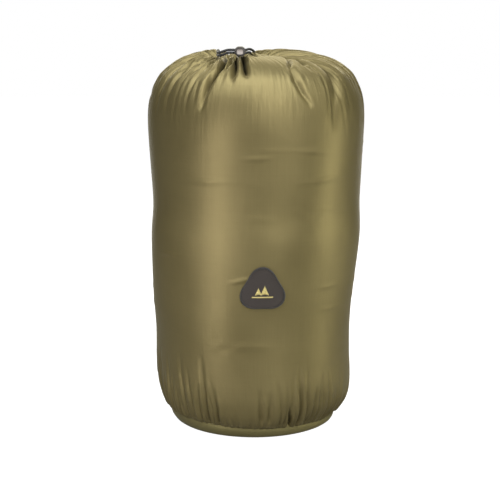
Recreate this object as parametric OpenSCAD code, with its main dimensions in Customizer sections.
// Stuff sack: a sewn nylon bag with a round base, drawn shut over a packed sleeping bag.
// +Z is up, the front with the badge faces -Y, and the origin is the middle of the base.

/* [Sack] */
// Height from the floor to the crest around the drawn mouth
crest_z = 594; // [480:1:720]
// Radius of the stuffed sack at its widest, under the shoulder
sack_r = 172; // [145:1:210]
// Radius of the stuffed sack just above its base
base_r = 156; // [135:1:190]
// Radius of the rounded edge between wall and base
base_corner_r = 40; // [30:1:50]
// Radius of the rounded shoulder
shoulder_r = 68; // [55:1:80]
// Radius of the level crest around the mouth
crown_r = 62.4; // [60:0.1:63]
// Fall of the top over 41.6 mm outside that crest
crown_fall = 6; // [4:1:9]
// Height of the seam between side and base
seam_z = 20; // [14:1:26]
// Thickness of the gathered cloth
cloth_t = 2; // [1.5:0.1:2.5]

/* [Mouth] */
// Sideways place of the drawn mouth
mouth_x = -22; // [-30:1:-16]
// Depth of the pucker below the crest
pucker_depth = 38; // [36:1:40]
// Radius of the pucker's flat floor
pucker_floor_r = 32; // [31:1:34]
// Radius of the pucker at the crest
pucker_rim_r = 66; // [60:1:68]
// Radius of the drawn ring of the casing
casing_r = 17; // [16.5:0.1:17.5]
// Radius of the casing's gathered tube
casing_tube_r = 5.5; // [4.8:0.1:5.6]

/* [Drawcord] */
// Diameter of the drawcord
cord_d = 4; // [3:0.1:4.1]
// Radius of the hole in the middle of the stored coil
coil_hole_r = 12; // [10:0.5:14]
// Radius of the stored coil over its outside
coil_r = 30; // [26:0.5:31]
// Width of the knot that joins the two ends
knot_d = 14; // [12:0.5:16]
// Height of that knot
knot_h = 11; // [9:0.5:12]

/* [Cord lock] */
// Width of the barrel, along the cords
lock_w = 17; // [15:0.5:20]
// Height of the barrel
lock_h = 14; // [13.5:0.1:14.5]
// Length of the barrel, along the plunger
lock_l = 22; // [20:0.5:26]
// Wall of the barrel
lock_wall = 1.5; // [1.2:0.1:1.6]
// Press of the plunger
plunger_travel = 3.5; // [2:0.1:4]
// How far the plunger's head stands out of the barrel
head_out = 4.5; // [4.2:0.1:7]
// Wire of the spring
spring_wire = 0.5; // [0.4:0.05:0.6]
// Turns of the spring
spring_turns = 4; // [3:1:5]

/* [Badge] */
// Mean radius of the badge
badge_r = 32; // [26:1:40]
// Height of the badge's middle
badge_z = 247; // [180:1:320]
// Sideways place of the badge
badge_x = 11; // [-20:1:20]
// Thickness of the badge
badge_t = 1.2; // [0.8:0.1:2]

/* [Hidden] */

olive = [0.46, 0.42, 0.26];
black = [0.10, 0.10, 0.09];
charcoal = [0.22, 0.21, 0.19];
gold = [0.72, 0.60, 0.28];

gap = 0.3;                                   // between pieces that don't touch
pack_gap = 2;                                // room for seam allowances inside the cloth
allowance_t = 1.2;                           // folded cloth of a seam allowance
thread_t = 0.6;                              // sewing thread
crown_slope = crown_fall / 41.6;
shoulder_z = crest_z - crown_slope * (sack_r - shoulder_r - crown_r);  // top of the rounded shoulder
pucker_slope = (pucker_rim_r - pucker_floor_r) / pucker_depth;
casing_z = crest_z - pucker_depth + 2;
mouth_hole_r = casing_r + casing_tube_r + gap;
cord_r = cord_d / 2;
casing_bore_r = cord_r + gap;
exit_from = -88;                             // the casing is open between these two angles
exit_to = -27;
cord_end_lead = 3;                           // the cord in the casing reaches this far into the opening
strand_pitch = 4.3;                          // the two strands lie one above the other

// lock: its barrel lies along Y, and the cords run through it along X
lock_pos = [-23, -80, crest_z + 6.35];
lock_inner_h = lock_h - 2 * lock_wall;
plunger_h = lock_inner_h - 0.4;
lock_front = -lock_l / 2;
lock_floor = lock_l / 2 - lock_wall;         // inner face of the barrel's closed end
cord_slot_w = cord_d + 0.6;
cord_slot_h = strand_pitch + cord_d + 0.6;
plunger_slot_rear = cord_slot_w / 2;
plunger_slot_front = -cord_slot_w / 2 - plunger_travel;
plunger_back = plunger_slot_rear + 2.5;
spring_r = 3.4;

coil_y = 2;
coil_bottom = casing_z + casing_tube_r + 0.8;
coil_h = strand_pitch + cord_d;

// route of the strand that lies on top, from its end of the casing to the coil, under the crest's height
upper_route = [
    [-7.3, -8.5, -36], [-8.5, -13, -35.8], [-7, -19, -35], [-4.5, -26, -33.5], [-2.5, -34, -26.5],
    [-1, -46, -14], [0, -57, -2], [-1, -65, 3], [-3, -71, 6.5], [-6.5, -76.5, 9],
    [-10.5, -79.5, 9.6], [-15, -80, 8.5], [-28, -80, 8.5], [-41, -80, 8.5], [-49, -78.5, 6.2],
    [-55, -73, 4.2], [-57.5, -64, 4.4], [-56.5, -54, 6.4], [-54.5, -44, -2.5], [-52.5, -33, -13.5],
    [-51, -20, -22], [-50.2, -8, -23.4], [-50, 2, -23.4]
];
// route of the strand that lies below it
lower_route = [
    [-20.5, -17, -36], [-15.5, -17.8, -36], [-12.5, -22, -35.6], [-11, -28, -32.5], [-9.5, -35, -26.5],
    [-8.5, -46, -16.5], [-7.5, -57, -4.5], [-7.5, -65, 2.4], [-8.5, -72, 4.4], [-11, -77.5, 4.6],
    [-15, -80, 4.2], [-28, -80, 4.2], [-41, -80, 4.2], [-49, -78.5, 1.2], [-55, -73, -0.6],
    [-57.5, -64, -0.4], [-56.5, -54, 1.2], [-54.5, -44, -8.8], [-52.5, -33, -20],
    [-51, -20, -26.8], [-50.2, -8, -27.7], [-50, 2, -27.7]
];

function arc(centre, radius, from, to, steps) =
    [for (k = [0:steps]) let (a = from + (to - from) * k / steps)
        centre + radius * [cos(a), sin(a)]];

// half outline of the stuffed sack, drawn inwards by the given depth
function sack_outline(depth) = concat(
    [[0, depth]],
    arc([base_r - base_corner_r, base_corner_r], base_corner_r - depth, -90, 0, 12),
    arc([sack_r - shoulder_r, shoulder_z - shoulder_r], shoulder_r - depth, 0, 90, 16),
    [[crown_r, crest_z - depth], [0, crest_z - depth]]);

// half outline of the open pucker, widened by the given depth
function pucker_outline(depth) =
    let (spread = depth * sqrt(1 + pucker_slope * pucker_slope),
         foot = pucker_floor_r + spread - depth * pucker_slope,
         lip_h = 20)
    [[0, crest_z - pucker_depth - depth], [foot, crest_z - pucker_depth - depth],
     [pucker_rim_r + spread + lip_h * pucker_slope, crest_z + lip_h], [0, crest_z + lip_h]];

module sack_solid(depth) {
    difference() {
        rotate_extrude($fn = 128) polygon(sack_outline(depth));
        translate([mouth_x, 0, 0]) rotate_extrude($fn = 96) polygon(pucker_outline(depth));
    }
}

// layer of cloth or thread between two depths under the sack's surface, without the pucker
module wall_layer(outer, inner) {
    difference() {
        rotate_extrude($fn = 128) polygon(sack_outline(outer));
        rotate_extrude($fn = 128) polygon(sack_outline(inner));
    }
}

module slab(from, to) {
    translate([-sack_r - 20, -sack_r - 20, from])
        cube([2 * sack_r + 40, 2 * sack_r + 40, to - from]);
}

module side_panel() {
    color(olive)
    difference() {
        sack_solid(0);
        sack_solid(cloth_t);
        slab(-10, seam_z);
        translate([mouth_x, 0, crest_z - pucker_depth - 20]) cylinder(r = mouth_hole_r, h = 40, $fn = 64);
    }
}

module base_panel() {
    color(olive)
    intersection() {
        wall_layer(0, cloth_t);
        slab(-10, seam_z);
    }
}

// folded edges of the side seam, which lie flat inside the back of the sack
module side_seam_allowance() {
    seam_w = 12;
    color(olive)
    intersection() {
        wall_layer(cloth_t + gap, cloth_t + gap + allowance_t);
        translate([-seam_w / 2, 0, seam_z + 12])
            cube([seam_w, 2 * sack_r, crest_z - shoulder_r - seam_z]);
    }
}

// two rows of thread along the side seam
module side_seam_stitching() {
    row_x = 4;
    color(olive)
    intersection() {
        wall_layer(-thread_t, -0.1);
        for (side = [-1, 1])
            translate([side * row_x - thread_t / 2, 0, seam_z + 8])
                cube([thread_t, 2 * sack_r, crest_z - shoulder_r - seam_z - 45]);
    }
}

module base_seam_binding() {
    binding_h = 12;
    color(black)
    intersection() {
        wall_layer(cloth_t + gap, cloth_t + gap + allowance_t);
        slab(seam_z - binding_h / 2, seam_z + binding_h / 2);
    }
}

module base_seam_stitching() {
    color(olive)
    intersection() {
        wall_layer(-thread_t, -0.1);
        slab(seam_z + 3, seam_z + 3 + thread_t);
    }
}

module casing_arc(start, end) {
    translate([mouth_x, 0, casing_z])
        rotate([0, 0, start]) rotate_extrude(angle = end - start, $fn = 96) children();
}

module mouth_casing() {
    color(olive)
    casing_arc(exit_to, 360 + exit_from)
        translate([casing_r, 0]) difference() {
            circle(r = casing_tube_r, $fn = 40);
            circle(r = casing_bore_r, $fn = 32);
        }
}

// thread that closes the casing, on its outer slope
module casing_stitching() {
    row_angle = 35;
    row_r = casing_tube_r + thread_t;
    color(olive)
    casing_arc(exit_to, 360 + exit_from)
        translate([casing_r + row_r * cos(row_angle), row_r * sin(row_angle)])
            circle(r = thread_t / 2, $fn = 16);
}

// short bars of dense thread at both ends of the casing, where the cord leaves it
module exit_bartacks() {
    bar = [1.4, 6, 0.4];
    color(black)
    for (a = [exit_to + 4, exit_from - 4])
        translate([mouth_x, 0, casing_z + casing_tube_r + 0.1]) rotate([0, 0, a - 90])
            translate([-bar[0] / 2, casing_r - bar[1] / 2, 0]) cube(bar);
}

module drawcord_in_casing() {
    color(black)
    casing_arc(exit_to - cord_end_lead, 360 + exit_from + cord_end_lead)
        translate([casing_r, 0]) circle(r = cord_r, $fn = 32);
}

function unit(v) = v / norm(v);

// one eight-sided tube swept along a route
module cord_tube(route) {
    sides = 8;
    last = len(route) - 1;
    heading = [for (k = [0:last])
        unit(route[min(k + 1, last)] - route[max(k - 1, 0)])];
    rings = [for (k = [0:last])
        let (across = unit(cross(heading[k], [0.15, 0.2, 0.97])), above = cross(across, heading[k]))
        for (s = [0:sides - 1])
            route[k] + cord_r * (cos(360 * s / sides) * across + sin(360 * s / sides) * above)];
    ends = [[for (s = [0:sides - 1]) s], [for (s = [sides - 1:-1:0]) last * sides + s]];
    walls = [for (k = [0:last - 1]) for (s = [0:sides - 1])
        let (t = (s + 1) % sides)
        [k * sides + s, (k + 1) * sides + s, (k + 1) * sides + t, k * sides + t]];
    translate([0, 0, crest_z]) polyhedron(rings, concat(ends, walls), convexity = 6);
}

module drawcord_strand_upper() {
    color(black) cord_tube(upper_route);
}

module drawcord_strand_lower() {
    color(black) cord_tube(lower_route);
}

// outer shape of the two strands, wound as one flat double spiral
module drawcord_coil() {
    color(black)
    translate([mouth_x, coil_y, coil_bottom]) difference() {
        cylinder(r = coil_r, h = coil_h, $fn = 96);
        translate([0, 0, -1]) cylinder(r = coil_hole_r, h = coil_h + 2, $fn = 64);
    }
}

module cord_end_knot() {
    color(black)
    translate([mouth_x + (coil_r + coil_hole_r) / 2 - 2, coil_y + 4, coil_bottom + coil_h + gap + knot_h / 2])
        rotate_extrude($fn = 48) intersection() {
            scale_round(knot_d / 2, knot_h / 2);
            translate([0, -knot_h]) square([knot_d, 2 * knot_h]);
        }
}

// upright oval as a polygon
module scale_round(rx, ry) {
    polygon([for (a = [0:10:350]) [rx * cos(a), ry * sin(a)]]);
}

// upright stadium, wide along X, run out along Y from one depth to another
module lock_bar(w, h, from, to) {
    r = h / 2;
    side = (w - h) / 2;
    translate([0, from, 0]) rotate([-90, 0, 0]) linear_extrude(to - from) {
        translate([-side, 0]) circle(r = r, $fn = 64);
        translate([side, 0]) circle(r = r, $fn = 64);
        translate([-side, -r]) square([2 * side, h]);
    }
}

// straight slot along X for the two strands, from one depth to another
module cord_slot(from, to) {
    r = cord_slot_w / 2;
    rise = (cord_slot_h - cord_slot_w) / 2;
    translate([-lock_w, 0, 0]) {
        for (z = [-rise, rise]) for (y = [from + r, to - r])
            translate([0, y, z]) rotate([0, 90, 0]) cylinder(r = r, h = 2 * lock_w, $fn = 48);
        translate([0, from, -rise]) cube([2 * lock_w, to - from, 2 * rise]);
        translate([0, from + r, -rise - r]) cube([2 * lock_w, max(to - from - 2 * r, 0.01), cord_slot_h]);
    }
}

module cord_lock_barrel() {
    color(charcoal)
    translate(lock_pos) difference() {
        union() {
            lock_bar(lock_w, lock_h, lock_front + 0.8, lock_l / 2 - 0.8);
            lock_bar(lock_w - 1.2, lock_h - 1.2, lock_front, lock_l / 2);
        }
        lock_bar(lock_w - 2 * lock_wall, lock_inner_h, lock_front - 1, lock_floor);
        cord_slot(-cord_slot_w / 2, cord_slot_w / 2);
    }
}

module cord_lock_plunger() {
    color("gray")
    translate(lock_pos) difference() {
        lock_bar(lock_w - 2 * lock_wall - 0.4, plunger_h, lock_front - head_out, plunger_back);
        cord_slot(plunger_slot_front, plunger_slot_rear);
        lock_bar(lock_w - 2 * lock_wall - 4, plunger_h - 4, lock_front - head_out - 1, lock_front - head_out + 0.8);
    }
}

// round wire wound between the plunger and the barrel's closed end
module cord_lock_spring() {
    steps = 14;
    sides = 6;
    wire_r = spring_wire / 2;
    length = lock_floor - plunger_back - 2 * wire_r - 0.1;
    last = spring_turns * steps;
    rings = [for (k = [0:last]) for (s = [0:sides - 1])
        let (turn = 360 * k / steps, round = 360 * s / sides, out = spring_r + wire_r * cos(round))
        [out * cos(turn), plunger_back + wire_r + 0.05 + length * k / last + wire_r * sin(round), out * sin(turn)]];
    ends = [[for (s = [sides - 1:-1:0]) s], [for (s = [0:sides - 1]) last * sides + s]];
    walls = [for (k = [0:last - 1]) for (s = [0:sides - 1])
        let (t = (s + 1) % sides)
        [k * sides + s, k * sides + t, (k + 1) * sides + t, (k + 1) * sides + s]];
    color("silver")
    translate(lock_pos) polyhedron(rings, concat(ends, walls), convexity = 6);
}

// rounded triangle, point up
function badge_outline(size) =
    [for (a = [0:7.5:352.5]) size * (1 - 0.13 * sin(3 * a)) * [cos(a), sin(a)]];

// cuts a flat drawing through a layer that lies over the front of the sack
module on_front(outer, inner) {
    intersection() {
        wall_layer(outer, inner);
        translate([badge_x, 0, badge_z]) rotate([90, 0, 0])
            linear_extrude(2 * sack_r) children();
    }
}

module badge() {
    color(charcoal) on_front(-gap - badge_t, -gap) polygon(badge_outline(badge_r));
}

// dense thread over the badge's edge
module badge_edging() {
    band = 2.4;
    color(black) on_front(-2 * gap - badge_t - thread_t, -2 * gap - badge_t) difference() {
        polygon(badge_outline(badge_r));
        polygon(badge_outline(badge_r - band));
    }
}

// plain mark of two peaks over a bar
module badge_emblem() {
    peak_w = 9;
    peak_h = 12;
    color(gold) on_front(-2 * gap - badge_t - thread_t, -2 * gap - badge_t) {
        for (side = [-1, 1])
            translate([side * (peak_w / 2 + 0.5), -4])
                polygon([[-peak_w / 2, 0], [peak_w / 2, 0], [-side * 1.5, peak_h + side * 2]]);
        translate([-16, -11.5]) square([32, 2.6]);
    }
}

module packed_contents() {
    color([0.30, 0.29, 0.22]) sack_solid(cloth_t + pack_gap);
}

side_panel();
side_seam_allowance();
side_seam_stitching();
base_panel();
base_seam_binding();
base_seam_stitching();
mouth_casing();
casing_stitching();
exit_bartacks();
drawcord_in_casing();
drawcord_strand_upper();
drawcord_strand_lower();
drawcord_coil();
cord_end_knot();
cord_lock_barrel();
cord_lock_plunger();
cord_lock_spring();
badge();
badge_edging();
badge_emblem();
packed_contents();
